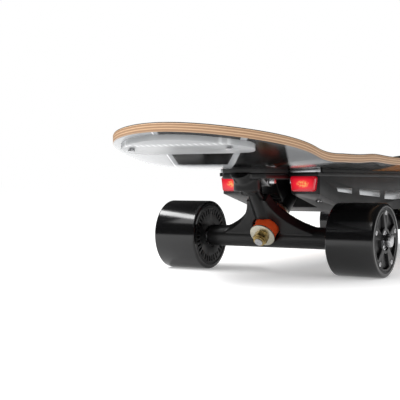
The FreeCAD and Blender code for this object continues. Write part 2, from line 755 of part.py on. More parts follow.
def around(shape, count, first=-90.0):
    """Copies of a shape that starts at angle zero, spaced evenly about the axle."""
    return [turned(shape, first + 360.0 * step / count) for step in range(count)]


def build_tyre():
    tyre = ring_z(WHEEL_RADIUS, TYRE_BORE, WHEEL_INNER, WHEEL_OUTER)
    rims = [e for e in tyre.Edges if e.Curve.TypeId == "Part::GeomCircle"]
    rims = [e for e in rims if e.Curve.Radius > WHEEL_RADIUS - 0.1]
    return tyre.makeFillet(TYRE_EDGE, rims)


def build_rotor_can():
    return ring_z(TYRE_BORE, CAN_BORE, WHEEL_INNER + 0.6, WHEEL_OUTER - 0.4)


def build_magnets():
    magnet = sector(CAN_BORE, STATOR_RADIUS + 0.6, WHEEL_INNER + 8, WHEEL_OUTER - 8, 0, 22)
    return around(magnet, MAGNETS)


def build_inner_cover():
    """Slotted cover on the side of the wheel that faces the board's middle."""
    z0 = WHEEL_INNER + 0.6
    disc = ring_z(CAN_BORE, 16.2, z0, z0 + COVER_THICKNESS)
    hub = ring_z(18.5, BEARING_RADIUS, z0 + 1.0, z0 + 1.0 + BEARING_WIDTH + 0.2)
    slot = sector(32.5, 25.5, z0 - 1, z0 + COVER_THICKNESS + 1, 0, 5.0)
    slots = []
    for group in range(HUB_SPOKES):
        for place in range(6):
            slots.append(turned(slot, -90 + 72 * group + 72.0 / 7 * (place + 1)))
    return disc.fuse(hub).cut(slots).removeSplitter()


def build_outer_cover():
    """Cover with five spokes, a screw at the end of each, and shallow recesses between them."""
    z1 = WHEEL_OUTER - 0.4
    z0 = z1 - COVER_THICKNESS - 1.6
    disc = ring_z(CAN_BORE, BEARING_RADIUS, z0, z1)
    recess = sector(31.5, 14.5, z1 - 3.0, z1 + 1, 36, 44)
    recesses = around(recess, HUB_SPOKES)
    seats = around(rod(2.9, V(SCREW_CIRCLE, 0, z1 - 1.2), UP, 3), HUB_SPOKES)
    return disc.cut(recesses).cut(seats)


def build_cover_screws():
    z1 = WHEEL_OUTER - 0.4
    head = rod(2.8, V(SCREW_CIRCLE, 0, z1 - 1.2), UP, 1.6)
    head = head.cut(hexagon(1.4, V(SCREW_CIRCLE, 0, z1 - 0.6), UP, 2))
    z0 = WHEEL_INNER + 0.6
    far = rod(2.0, V(29.0, 0, z0 - 0.4), UP, 0.4)
    return around(head, HUB_SPOKES) + around(far, HUB_SPOKES)


def build_bearing(z0):
    """A ball bearing as its two rings and a ring of balls between them."""
    outer = ring_z(BEARING_RADIUS, 9.2, z0, z0 + BEARING_WIDTH)
    inner = ring_z(6.2, AXLE_RADIUS + RUNNING_GAP, z0, z0 + BEARING_WIDTH)
    shield = ring_z(9.2, 6.2, z0 + 1.0, z0 + BEARING_WIDTH - 1.0)
    return outer.fuse([inner, shield]).removeSplitter()


def build_rear_bearings():
    inner = build_bearing(WHEEL_INNER + 1.6)
    outer = build_bearing(WHEEL_OUTER - 0.4 - 1.2 - BEARING_WIDTH)
    return [inner, outer]


def build_stator():
    """Steel core with its teeth, on a sleeve that sits on the axle."""
    z0 = WHEEL_INNER + 10.5
    z1 = WHEEL_OUTER - 10.5
    sleeve = ring_z(8.0, AXLE_RADIUS, z0 - 1, z1 + 1)
    hub = ring_z(16.0, 7.9, z0, z1)
    stem = box(15, 30.5, -2.0, 2.0, z0, z1)
    shoe = sector(STATOR_RADIUS, 29.8, z0, z1, 0, 25)
    teeth = around(stem.fuse(shoe), STATOR_TEETH)
    return sleeve.fuse([hub] + teeth).removeSplitter()


def build_windings():
    z0 = WHEEL_INNER + 10.5
    z1 = WHEEL_OUTER - 10.5
    coil = box(17.0, 29.0, -3.7, 3.7, z0 - 1.2, z1 + 1.2)
    tooth = box(14, 32, -2.05, 2.05, z0 - 0.05, z1 + 0.05)
    return around(coil.cut(tooth), STATOR_TEETH)


def build_front_core():
    """Moulded hub of a plain wheel: rim, web with six openings, and a sleeve for the bearings."""
    z0 = WHEEL_INNER + 0.8
    z1 = WHEEL_OUTER - 0.8
    rim = ring_z(TYRE_BORE, 32.5, z0, z1)
    sleeve = ring_z(14.5, BEARING_RADIUS, z0 + 0.8, z1 - 0.8)
    web = ring_z(33.0, 14.0, z0 + 6, z1 - 6)
    opening = sector(30.0, 18.0, z0 - 1, z1 + 1, 0, 38)
    return rim.fuse([sleeve, web]).cut(around(opening, 6)).removeSplitter()


def build_front_bearings():
    start = WHEEL_INNER + 1.6
    end = WHEEL_OUTER - 1.6 - BEARING_WIDTH
    return [build_bearing(start), build_bearing(end)]


def on_axle(shape, end, side):
    """Moves a piece built about +Z onto the left (1) or right (-1) axle of a truck."""
    copy = shape.copy()
    copy.rotate(V(0, 0, 0), V(1, 0, 0), -90)
    if side < 0:
        copy = turned(copy, 180)
    copy.translate(V(end * WHEELBASE / 2, 0, AXLE_Z))
    return copy


def on_both_sides(shapes, end):
    return [on_axle(shape, end, side) for side in (1, -1) for shape in shapes]


def save_board():
    save("deck", make_deck())
    save("grip_tape", make_grip_tape())
    save("enclosure_shell", make_enclosure_shell())
    save("enclosure_flange", make_enclosure_flange())
    save("enclosure_gasket", make_enclosure_gasket())
    save("light_pod_caps", make_light_pod_caps())
    save("side_windows", window_blocks(0.8, 0.3))
    lenses = make_pod_lenses()
    save("tail_light_lenses", lenses[:2])
    save("headlight_lenses", lenses[2:])
    save("lamp_boards", make_lamp_boards())
    save("light_bar_lenses", make_light_bars())
    save("housing_screws", make_housing_screws())
    save("battery_cells", make_battery_cells())
    save("battery_spacers", make_battery_spacers())
    save("bms_board", make_bms_board())
    save("esc_board", make_esc_board())
    save("charge_socket", make_charge_socket())
    save("charge_port_cover", make_charge_port_cover())
    save("power_button_bezel", make_power_button_bezel())
    save("power_button", make_power_button())
    save("motor_cable_glands", make_motor_cable_glands())


def save_trucks():
    save("risers", make_risers())
    save("truck_bolts", make_truck_bolts())
    save("truck_nuts", make_truck_nuts())
    hanger = build_hanger()
    baseplate = build_baseplate()
    bushings = [build_bushing(14.8, 1, 17), build_bushing(13.5, 27, 41)]
    for name, end in (("rear", -1), ("front", 1)):
        save(name + "_baseplate", [at_end(baseplate, end)])
        save(name + "_hanger", [at_end(hanger, end)])
        save(name + "_bushings", [at_end(bushing, end) for bushing in bushings])
        save(name + "_axles", [at_end(build_axle(side), end) for side in (1, -1)])
        save(name + "_axle_nuts", [at_end(build_axle_nut(side), end) for side in (1, -1)])
    save("pivot_cups", on_both_trucks([build_pivot_cup()]))
    save("kingpins", on_both_trucks([kingpin_rod(KINGPIN_RADIUS, -13, 72)]))
    save("kingpin_washers", on_both_trucks([build_flat_washer(), build_cup_washer()]))
    save("kingpin_nuts", on_both_trucks([build_kingpin_nut()]))


def save_wheels():
    save("motor_stators", on_both_sides([build_stator()], -1))
    save("motor_windings", on_both_sides(build_windings(), -1))
    rear_parts = {"tyre": [build_tyre()], "rotor_can": [build_rotor_can()],
                  "magnets": build_magnets(), "inner_cover": [build_inner_cover()],
                  "outer_cover": [build_outer_cover()], "cover_screws": build_cover_screws(),
                  "bearings": build_rear_bearings()}
    front_parts = {"tyre": [build_tyre()], "core": [build_front_core()],
                   "bearings": build_front_bearings()}
    for side_name, side in (("left", 1), ("right", -1)):
        for part, shapes in rear_parts.items():
            save("rear_%s_%s" % (side_name, part), [on_axle(s, -1, side) for s in shapes])
        for part, shapes in front_parts.items():
            save("front_%s_%s" % (side_name, part), [on_axle(s, 1, side) for s in shapes])


os.makedirs("parts", exist_ok=True)
save_board()
save_trucks()
save_wheels()
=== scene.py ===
import json
import math

import bmesh
import bpy
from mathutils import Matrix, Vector


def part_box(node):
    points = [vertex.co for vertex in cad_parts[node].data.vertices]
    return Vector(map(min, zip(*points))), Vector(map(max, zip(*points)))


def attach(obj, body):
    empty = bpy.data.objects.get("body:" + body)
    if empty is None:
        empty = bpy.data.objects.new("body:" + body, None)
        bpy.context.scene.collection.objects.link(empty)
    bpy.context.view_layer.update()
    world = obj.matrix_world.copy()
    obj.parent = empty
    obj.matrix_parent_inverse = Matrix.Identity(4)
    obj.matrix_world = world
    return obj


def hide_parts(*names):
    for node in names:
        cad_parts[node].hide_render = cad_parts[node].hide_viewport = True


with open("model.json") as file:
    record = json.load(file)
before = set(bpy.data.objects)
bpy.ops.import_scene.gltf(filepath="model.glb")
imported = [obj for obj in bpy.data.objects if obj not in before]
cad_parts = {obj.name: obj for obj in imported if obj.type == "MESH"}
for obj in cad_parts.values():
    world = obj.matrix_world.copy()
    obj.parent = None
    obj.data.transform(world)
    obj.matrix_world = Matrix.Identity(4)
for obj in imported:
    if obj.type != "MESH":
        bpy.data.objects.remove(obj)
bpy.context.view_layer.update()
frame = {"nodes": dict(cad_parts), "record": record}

# Sizes are in metres. X runs along the board towards its nose, Y to its left and Z up.

# The deck's shape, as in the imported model.
DECK_HALF_WIDTH = 0.115
DECK_THICKNESS = 0.009
TAPE_THICKNESS = 0.0007
TAPE_GAP = 0.00002
TAPE_INSET = 0.0006
DECK_BASE_Z = 0.1203
TAIL_CENTRE_X = 0.365
TAIL_HALF_WIDTH = 0.111
TAIL_BLEND_X = 0.300
DECK_TIP_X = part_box("deck")[1][0]
KICK_START_X = 0.317
KICK_RADIUS = 0.200
KICK_ANGLE = math.radians(12.5)
CONCAVE_RISE = 0.0062
WHEEL_FLARE = 0.002
FLARE_X = 0.212
FLARE_REACH = 0.035

# How finely the deck's outline, rim and faces are divided.
TIP_STEPS = 72
BLEND_STEPS = 16
RAIL_STEPS = 60
RIM_STEPS = 5
WALL_STEPS = 8
SLAB_ROWS = 22
SPINE_INSET = 0.085
SPINE_END_X = DECK_TIP_X - SPINE_INSET
PLY_COUNT = 7
UNDERSIDE_BELOW = 0.03
TOP_ABOVE = 0.97

# The print under the deck, with a grey patch of painted shade on the near rail and a thin painted
# highlight beside the bar. A slanting edge is (x, y, change in y for each metre along x).
BAR_EDGE = (0.400, 0.040, -0.45)
BAR_START_X = 0.358
STRIPE_MIDDLE = (0.364, -0.0118, -0.71)
STRIPE_HALF_WIDTH = 0.0040
# A thin bright line beside the bar's edge is a painted highlight.
HIGHLIGHT_LINE_GAP = 0.006
HIGHLIGHT_LINE_HALF_WIDTH = 0.0008
# The near rail's grey patch is painted shade on the pale paint.
RAIL_SHADE_EDGE = (0.356, -0.0752, -0.42)
RAIL_SHADE_START_X = 0.325
BLACK_MIDDLE_END_X = 0.338
FAR_RAIL_Y = 0.010
FAR_RAIL_START_X = 0.240
WOOD_END = (-0.118, 0.147, -1.06)  # here (y, x, change in x for each metre along y)
WOOD_SHORTEST_X = 0.060

# Lamps and screws.
RED_LAMP_Y = 0.0458
RED_LAMP_Z = 0.1036
LIGHT_BAR_X = 0.460
CHIP_SPACING = 0.007
SCREW_BRIGHT_Y = 0.110

# Tyres.
TYRE_INNER_RADIUS = 0.0366
TYRE_EDGE_RADIUS = 0.0025
TYRE_EDGE_STEPS = 6
TYRE_TURN_STEPS = 160

# Widths of the rounded edges.
CRISP = 0.0002
FINE = 0.0003
SMALL = 0.0004
COVER = 0.0005
SOFT = 0.0008
LENS = 0.0009
BROAD = 0.0012


# ---------------------------------------------------------------- small node helpers

class Shader:
    """A material with a principled shader, and short ways to add nodes to it."""

    def __init__(self, name, colour, roughness, metallic=0.0):
        self.material = bpy.data.materials.new(name)
        self.material.use_nodes = True
        self.tree = self.material.node_tree
        self.bsdf = self.tree.nodes["Principled BSDF"]
        self.set("Base Color", (*colour, 1.0))
        self.set("Roughness", roughness)
        self.set("Metallic", metallic)
        self.position = self.node("ShaderNodeTexCoord").outputs["Object"]

    def node(self, kind, **settings):
        node = self.tree.nodes.new(kind)
        for key, value in settings.items():
            setattr(node, key, value)
        return node

    def link(self, output, target):
        self.tree.links.new(output, target)

    def set(self, name, value):
        self.bsdf.inputs[name].default_value = value

    def drive(self, name, output):
        self.link(output, self.bsdf.inputs[name])

    def feed(self, socket, value):
        if isinstance(value, (int, float, tuple)):
            socket.default_value = value
        else:
            self.link(value, socket)

    def math(self, operation, *values, clamp=False):
        node = self.node("ShaderNodeMath", operation=operation, use_clamp=clamp)
        for socket, value in zip(node.inputs, values):
            self.feed(socket, value)
        return node.outputs[0]

    def minus(self, first, second):
        return self.math("SUBTRACT", first, second)

    def times(self, first, second):
        return self.math("MULTIPLY", first, second)

    def inverse(self, share):
        """One where the share is zero, and zero where it is one."""
        return self.minus(1.0, share)

    def distance(self, value, centre):
        return self.math("ABSOLUTE", self.minus(value, centre))

    def slanting(self, along, edge):
        """How far across a straight slanting edge lies, at each place along it."""
        start, across, slope = edge
        return self.math("ADD", across, self.times(self.minus(along, start), slope))

    def axes(self):
        split = self.node("ShaderNodeSeparateXYZ")
        self.link(self.position, split.inputs[0])
        return split.outputs

    def stretched(self, scale):
        """The position, scaled by a different amount along each axis."""
        mapping = self.node("ShaderNodeMapping")
        mapping.inputs["Scale"].default_value = scale
        self.link(self.position, mapping.inputs["Vector"])
        return mapping.outputs[0]

    def noise(self, scale, detail=3.0, roughness=0.55, vector=None):
        node = self.node("ShaderNodeTexNoise")
        node.inputs["Scale"].default_value = scale
        node.inputs["Detail"].default_value = detail
        node.inputs["Roughness"].default_value = roughness
        self.link(vector or self.position, node.inputs["Vector"])
        return node.outputs["Fac"]

    def range(self, value, low, high, to_low, to_high):
        node = self.node("ShaderNodeMapRange")
        for socket, number in zip(node.inputs[1:5], (low, high, to_low, to_high)):
            socket.default_value = number
        self.feed(node.inputs[0], value)
        return node.outputs[0]

    def step(self, value, edge, softness):
        """Zero below the edge, one above it, over a soft width."""
        return self.range(value, edge - softness, edge + softness, 0.0, 1.0)

    def below(self, value, limit, softness):
        """One where the value is under a limit that may itself vary over the surface."""
        return self.step(self.minus(limit, value), 0.0, softness)

    def mix(self, factor, first, second):
        node = self.node("ShaderNodeMix", data_type="RGBA")
        self.feed(node.inputs[0], factor)
        self.feed(node.inputs[6], first)
        self.feed(node.inputs[7], second)
        return node.outputs[2]

    def bump(self, height, strength, distance):
        node = self.node("ShaderNodeBump")
        node.inputs["Strength"].default_value = strength
        node.inputs["Distance"].default_value = distance
        self.link(height, node.inputs["Height"])
        self.link(node.outputs[0], self.bsdf.inputs["Normal"])


def rgb(red, green, blue):
    return (red, green, blue, 1.0)


# ---------------------------------------------------------------- materials

def worn_surface(name, colour, roughness, grain=900.0, depth=0.00004, specular=0.5):
    """A plain finish with fine grain in its surface and slight variation in shade and gloss."""
    light_share = 1.24
    dark_share = 0.84
    gloss_spread = 0.08
    shader = Shader(name, colour, roughness)
    cloud = shader.noise(14.0, 4.0)
    light = [min(1.0, part * light_share) for part in colour]
    dark = [part * dark_share for part in colour]
    shader.drive("Base Color", shader.mix(cloud, rgb(*dark), rgb(*light)))
    glossiest = roughness - gloss_spread
    dullest = roughness + gloss_spread
    shader.drive("Roughness", shader.range(cloud, 0.3, 0.7, glossiest, dullest))
    shader.set("Specular IOR Level", specular)
    shader.bump(shader.noise(grain, 2.0), 0.35, depth)
    return shader.material


def powder_coat():
    return worn_surface("powder_coat", (0.004, 0.004, 0.0042), 0.34,
                        grain=1400.0, depth=0.00006, specular=0.36)


def moulded_black():
    return worn_surface("moulded_black", (0.003, 0.003, 0.0032), 0.42, specular=0.25)


def moulded_charcoal():
    return worn_surface("moulded_charcoal", (0.008, 0.0083, 0.009), 0.46, grain=1800.0, specular=0.34)


def motor_shell():
    return worn_surface("motor_shell", (0.004, 0.004, 0.0044), 0.40, grain=1600.0, specular=0.35)


def soft_rubber():
    return worn_surface("soft_rubber", (0.014, 0.014, 0.014), 0.7, depth=0.00008)


def tyre_urethane():
    """Glossy black cast urethane, with faint turning marks and light scuffs on the tread."""
    shader = Shader("tyre_urethane", (0.004, 0.004, 0.0043), 0.2)
    scuffs = shader.noise(120.0, 5.0, 0.7, shader.stretched((1.0, 0.15, 1.0)))
    marks = shader.range(scuffs, 0.55, 0.8, 0.0, 1.0)
    shader.drive("Roughness", shader.range(marks, 0.0, 1.0, 0.14, 0.26))
    shader.drive("Base Color", shader.mix(marks, rgb(0.003, 0.003, 0.0033), rgb(0.008, 0.008, 0.0085)))
    turning = shader.noise(3.0, 2.0, 0.5, shader.stretched((0.0, 900.0, 0.0)))
    shader.bump(turning, 0.15, 0.00003)
    return shader.material


def cover_screw():
    """Bright steel outside the wheel, near black on its inner side."""
    shader = Shader("cover_screw", (0.5, 0.5, 0.5), 0.28, 1.0)
    y = shader.axes()[1]
    outside = shader.step(shader.math("ABSOLUTE", y), SCREW_BRIGHT_Y, 0.002)
    shader.drive("Base Color", shader.mix(outside, rgb(0.02, 0.02, 0.02), rgb(0.62, 0.62, 0.63)))
    shader.bump(shader.noise(900.0, 2.0), 0.2, 0.00003)
    return shader.material


def satin_silver():
    shader = Shader("satin_silver", (0.42, 0.43, 0.44), 0.3, 0.9)
    streaks = shader.noise(60.0, 3.0, 0.6, shader.stretched((0.3, 0.3, 8.0)))
    shader.drive("Roughness", shader.range(streaks, 0.3, 0.7, 0.24, 0.36))
    shader.drive("Base Color", shader.mix(streaks, rgb(0.36, 0.37, 0.38), rgb(0.5, 0.51, 0.52)))
    return shader.material


def machined_steel(name="machined_steel", colour=(0.56, 0.56, 0.57), roughness=0.26):
    """Turned or plated metal with a fine swirl and slightly dull patches."""
    dull_share = 0.72
    smoother = 0.07
    rougher = 0.1
    shader = Shader(name, colour, roughness, 1.0)
    swirl = shader.noise(700.0, 3.0)
    shader.drive("Roughness", shader.range(swirl, 0.3, 0.7, roughness - smoother, roughness + rougher))
    stain = shader.noise(90.0, 4.0)
    dull = [part * dull_share for part in colour]
    shader.drive("Base Color", shader.mix(stain, rgb(*dull), rgb(*colour)))
    shader.bump(swirl, 0.2, 0.00003)
    return shader.material


def orange_urethane():
    shader = Shader("orange_urethane", (0.80, 0.085, 0.018), 0.38)
    shader.set("Subsurface Weight", 0.12)
    shader.set("Subsurface Radius", (0.006, 0.002, 0.001))
    cloud = shader.noise(60.0, 3.0)
    shader.drive("Base Color", shader.mix(cloud, rgb(0.72, 0.065, 0.012), rgb(0.86, 0.11, 0.025)))
    shader.bump(shader.noise(700.0, 2.0), 0.2, 0.00004)
    return shader.material


def red_lamp():
    """A lit red lens: bright round its chips, deeper red at its edges, with fine vertical ribs."""
    hot_half_width = 0.0095
    hot_half_height = 0.0050
    rim_half_width = 0.0140
    rim_half_height = 0.0070
    rib_rate = 2600.0  # radians of the ribs' wave for each metre
    shader = Shader("red_lamp", (0.25, 0.002, 0.008), 0.12)
    y, z = shader.axes()[1:3]
    across = shader.distance(shader.math("ABSOLUTE", y), RED_LAMP_Y)
    height = shader.distance(z, RED_LAMP_Z)
    wide = shader.math("POWER", shader.math("DIVIDE", across, hot_half_width), 2.0)
    tall = shader.math("POWER", shader.math("DIVIDE", height, hot_half_height), 2.0)
    far = shader.math("ADD", wide, tall)
    sparks = shader.range(shader.noise(420.0, 2.0), 0.42, 0.6, 0.15, 1.0)
    hot = shader.times(shader.range(far, 0.0, 0.8, 1.0, 0.0), sparks)
    rim = shader.math("MAXIMUM", shader.step(across, rim_half_width, 0.0022),
                      shader.step(height, rim_half_height, 0.0018))
    glow = shader.range(far, 0.0, 3.4, 1.0, 0.0)
    colour = shader.mix(glow, rgb(0.50, 0.003, 0.014), rgb(0.95, 0.02, 0.04))
    colour = shader.mix(hot, colour, rgb(1.0, 0.60, 0.16))
    colour = shader.mix(rim, colour, rgb(0.26, 0.002, 0.008))
    shader.drive("Emission Color", colour)
    shader.set("Emission Strength", 0.85)
    shader.set("Coat Weight", 0.3)
    ribs = shader.math("SINE", shader.times(y, rib_rate))
    shader.bump(ribs, 0.12, 0.0002)
    return shader.material


def clear_lens():
    """Clear moulded plastic with flow streaks and a slightly milky body."""
    roughness = 0.16
    shader = Shader("clear_lens", (0.93, 0.95, 0.96), roughness)
    shader.set("Transmission Weight", 0.85)
    shader.set("IOR", 1.45)
    streaks = shader.noise(40.0, 4.0, 0.6, shader.stretched((3.0, 0.6, 3.0)))
    shader.drive("Roughness", shader.range(streaks, 0.35, 0.7, roughness * 0.5, roughness * 1.8))
    shader.bump(streaks, 0.25, 0.0006)
    return shader.material


def frosted_bar():
    """Milky moulded plastic that lets a little light through, brighter along its row of chips."""
    shader = Shader("frosted_bar", (0.62, 0.63, 0.64), 0.3)
    x, y = shader.axes()[0:2]
    cloud = shader.noise(45.0, 4.0, 0.6, shader.stretched((2.5, 0.7, 2.5)))
    milk = shader.mix(cloud, rgb(0.36, 0.37, 0.38), rgb(0.62, 0.63, 0.64))
    off_row = shader.distance(shader.math("ABSOLUTE", x), LIGHT_BAR_X)
    in_row = shader.inverse(shader.step(off_row, 0.0035, 0.0020))
    beat = shader.math("SINE", shader.times(y, 2 * math.pi / CHIP_SPACING))
    dots = shader.times(in_row, shader.range(beat, -0.2, 0.9, 0.25, 1.0))
    shader.drive("Base Color", shader.mix(dots, milk, rgb(0.92, 0.93, 0.94)))
    shader.set("Transmission Weight", 0.35)
    shader.set("IOR", 1.45)
    shader.bump(cloud, 0.2, 0.0004)
    return shader.material


def bright_chip_board():
    shader = Shader("bright_chip_board", (0.75, 0.77, 0.78), 0.35)
    dots = shader.noise(600.0, 2.0)
    shader.drive("Base Color", shader.mix(dots, rgb(0.60, 0.62, 0.64), rgb(0.9, 0.91, 0.92)))
    return shader.material


def grip_tape():
    """Black mineral grit: a rough bump with a few lighter sparkling grains."""
    shader = Shader("grip_tape", (0.012, 0.012, 0.012), 0.9)
    grains = shader.noise(2600.0, 3.0, 0.7)
    spark = shader.range(grains, 0.66, 0.74, 0.0, 1.0)
    shader.drive("Base Color", shader.mix(spark, rgb(0.010, 0.010, 0.010), rgb(0.10, 0.10, 0.10)))
    shader.bump(grains, 0.9, 0.0003)
    return shader.material


def ply_edge():
    """The deck's cut edge: plies of maple, each with its own grain and shade."""
    shader = Shader("ply_edge", (0.62, 0.40, 0.22), 0.42)
    height = shader.node("ShaderNodeAttribute", attribute_name="ply").outputs["Fac"]
    wobble = shader.noise(22.0, 3.0)
    level = shader.math("ADD", height, shader.range(wobble, 0.0, 1.0, -0.03, 0.03))
    layer = shader.times(level, PLY_COUNT)
    number = shader.math("FLOOR", layer)
    within = shader.minus(layer, number)
    seam = shader.math("MINIMUM", within, shader.inverse(within))
    glue = shader.range(seam, 0.03, 0.22, 1.0, 0.0)
    parity = shader.math("MODULO", number, 2.0)
    fibres = shader.noise(150.0, 5.0, 0.7, shader.stretched((0.5, 0.5, 10.0)))
    pale = shader.mix(fibres, rgb(0.50, 0.30, 0.16), rgb(0.72, 0.50, 0.32))
    tan = shader.mix(fibres, rgb(0.27, 0.14, 0.07), rgb(0.46, 0.28, 0.16))
    wood = shader.mix(parity, pale, tan)
    wood = shader.mix(shader.times(glue, 0.6), wood, rgb(0.15, 0.07, 0.035))
    lowest = shader.range(level, 0.04, 0.20, 0.55, 0.0)
    wood = shader.mix(lowest, wood, rgb(0.12, 0.055, 0.03))
    top_line = shader.step(level, 0.975, 0.015)
    bottom_line = shader.inverse(shader.step(level, 0.03, 0.02))
    wood = shader.mix(shader.math("MAXIMUM", top_line, bottom_line), wood, rgb(0.03, 0.02, 0.015))
    shader.drive("Base Color", wood)
    shader.set("Coat Weight", 0.25)
    shader.set("Coat Roughness", 0.25)
    shader.bump(fibres, 0.25, 0.0001)
    return shader.material


def printed_areas(shader):
    """The shares of black, of painted shade on the near rail, of a painted highlight line and of
    stained wood at each place.
    """
    raw_x, raw_y = shader.axes()[0:2]
    x = shader.math("ABSOLUTE", raw_x)
    # turned half round at the nose, so that both ends carry the same print
    y = shader.times(raw_y, shader.times(shader.math("SIGN", raw_x), -1.0))
    bar_edge = shader.slanting(x, BAR_EDGE)
    bar = shader.times(shader.below(y, bar_edge, 0.0008), shader.step(x, BAR_START_X, 0.0008))
    stripe_middle = shader.slanting(x, STRIPE_MIDDLE)
    stripe = shader.inverse(shader.step(shader.distance(y, stripe_middle), STRIPE_HALF_WIDTH, 0.0006))
    past_stripe = shader.below(y, stripe_middle, 0.0006)
    # painted highlight: a thin bright line beside the bar's edge
    off_highlight_line = shader.distance(shader.minus(y, bar_edge), HIGHLIGHT_LINE_GAP)
    painted_highlight_line = shader.inverse(shader.step(off_highlight_line, HIGHLIGHT_LINE_HALF_WIDTH, 0.0003))
    # painted shade: a grey patch where the near rail lies in shade
    painted_rail_shade = shader.times(shader.below(y, shader.slanting(x, RAIL_SHADE_EDGE), 0.0015),
                              shader.step(x, RAIL_SHADE_START_X, 0.012))
    under_truck = shader.inverse(shader.step(x, BLACK_MIDDLE_END_X, 0.0015))
    far_rail = shader.times(shader.step(y, FAR_RAIL_Y, 0.0015), shader.step(x, FAR_RAIL_START_X, 0.010))
    far_rail = shader.times(far_rail, shader.inverse(bar))
    dark = shader.math("MAXIMUM", shader.math("MAXIMUM", bar, past_stripe, clamp=True), under_truck)
    for light_area in (stripe, painted_rail_shade, far_rail):
        dark = shader.times(dark, shader.inverse(light_area))
    wood_end = shader.math("MAXIMUM", shader.slanting(y, WOOD_END), WOOD_SHORTEST_X)
    wood = shader.below(x, wood_end, 0.006)
    return dark, painted_rail_shade, painted_highlight_line, wood


def underside_paint():
    """Lacquered print: pale tail with a black bar and stripe, black middle, stained wood between, with
    painted shade on the near rail and a painted highlight line beside the bar.
    """
    shader = Shader("underside_paint", (0.7, 0.7, 0.7), 0.16)
    dark, painted_rail_shade, painted_highlight_line, wood = printed_areas(shader)
    cloud = shader.noise(9.0, 3.0)
    pale = shader.mix(cloud, rgb(0.28, 0.29, 0.30), rgb(0.35, 0.36, 0.37))
    # painted shade: the pale paint turned grey on the near rail
    pale = shader.mix(painted_rail_shade, pale, rgb(0.20, 0.205, 0.21))
    # painted highlight: a thin bright line beside the bar
    pale = shader.mix(painted_highlight_line, pale, rgb(0.80, 0.81, 0.83))
    black = shader.mix(cloud, rgb(0.0015, 0.0015, 0.0016), rgb(0.004, 0.004, 0.0042))
    grain = shader.noise(30.0, 5.0, 0.65, shader.stretched((0.6, 8.0, 1.0)))
    stain = shader.mix(grain, rgb(0.30, 0.085, 0.012), rgb(0.66, 0.26, 0.05))
    colour = shader.mix(dark, pale, black)
    shader.drive("Base Color", shader.mix(wood, colour, stain))
    shader.set("Specular IOR Level", 0.2)
    shader.set("Coat Weight", 0.08)
    shader.set("Coat Roughness", 0.10)
    shader.bump(shader.noise(25.0, 2.0), 0.05, 0.0006)
    return shader.material


# ---------------------------------------------------------------- mesh helpers

def to_mesh(bm, name):
    mesh = bpy.data.meshes.new(name)
    bm.to_mesh(mesh)
    bm.free()
    return mesh


def add_piece(name, mesh):
    piece = bpy.data.objects.new(name, mesh)
    bpy.context.scene.collection.objects.link(piece)
    return piece


# ---------------------------------------------------------------- deck shape

def kick_rise(x):
    run = abs(x) - KICK_START_X
    if run <= 0:
        return 0.0
    arc_run = KICK_RADIUS * math.sin(KICK_ANGLE)
    if run < arc_run:
        return KICK_RADIUS - math.sqrt(KICK_RADIUS ** 2 - run ** 2)
    arc_rise = KICK_RADIUS * (1 - math.cos(KICK_ANGLE))
    return arc_rise + (run - arc_run) * math.tan(KICK_ANGLE)


def underside_z(x, y):
    across = abs(y) / DECK_HALF_WIDTH
    flare = WHEEL_FLARE * math.exp(-((abs(x) - FLARE_X) / FLARE_REACH) ** 2)
    return DECK_BASE_Z + kick_rise(x) + (CONCAVE_RISE + flare) * across ** 4


def quarter_outline():
    """The deck's plan from the tip's middle, round to the rail and along it to the board's middle."""
    points = []
    tip_length = DECK_TIP_X - TAIL_CENTRE_X
    for step in range(TIP_STEPS):
        angle = math.pi / 2 * step / TIP_STEPS
        points.append((TAIL_CENTRE_X + tip_length * math.cos(angle), TAIL_HALF_WIDTH * math.sin(angle)))
    for step in range(BLEND_STEPS):
        share = step / BLEND_STEPS
        ease = share * share * (3 - 2 * share)
        x = TAIL_CENTRE_X + (TAIL_BLEND_X - TAIL_CENTRE_X) * share
        points.append((x, TAIL_HALF_WIDTH + (DECK_HALF_WIDTH - TAIL_HALF_WIDTH) * ease))
    for step in range(RAIL_STEPS):
        points.append((TAIL_BLEND_X * (1 - step / RAIL_STEPS), DECK_HALF_WIDTH))
    return points


def outline_points():
    """The deck's plan as (point, outward normal) pairs, counter-clockwise."""
    quarter = quarter_outline()
    half = quarter + [(0.0, DECK_HALF_WIDTH)] + [(-x, y) for x, y in reversed(quarter)]
    ring = half + [(x, -y) for x, y in reversed(half[1:-1])]
    points = [Vector((x, y, 0)) for x, y in ring]
    pairs = []
    for index, point in enumerate(points):
        along = points[(index + 1) % len(points)] - points[index - 1]
        pairs.append((point, Vector((along.y, -along.x, 0)).normalized()))
    return pairs


def quarter_arc(radius, steps):
    """(inset, rise) pairs round a quarter turn, from fully inset to fully risen."""
    pairs = []
    for step in range(steps + 1):
        angle = math.pi / 2 * step / steps
        pairs.append((radius * (1 - math.sin(angle)), radius * (1 - math.cos(angle))))
    return pairs


def rim_profile(thickness, low_radius, high_radius):
    """(inset, height) pairs up the rounded edge of a slab."""
    profile = quarter_arc(low_radius, RIM_STEPS)
    wall = thickness - low_radius - high_radius
    for step in range(1, WALL_STEPS):
        profile.append((0.0, low_radius + wall * step / WALL_STEPS))
    for inset, rise in quarter_arc(high_radius, RIM_STEPS):
        profile.append((rise, thickness - inset))
    return profile


def slab_loops(thickness, low_radius, high_radius):
    """(inset, height, share of the way out) of each loop, from the underside's spine to the top's."""
    shares = [step / SLAB_ROWS for step in range(SLAB_ROWS)]
    under = [(low_radius, 0.0, share) for share in shares]
    rim = [(inset, height, 1.0) for inset, height in rim_profile(thickness, low_radius, high_radius)]
    top = [(high_radius, thickness, share) for share in reversed(shares)]
    return under + rim + top


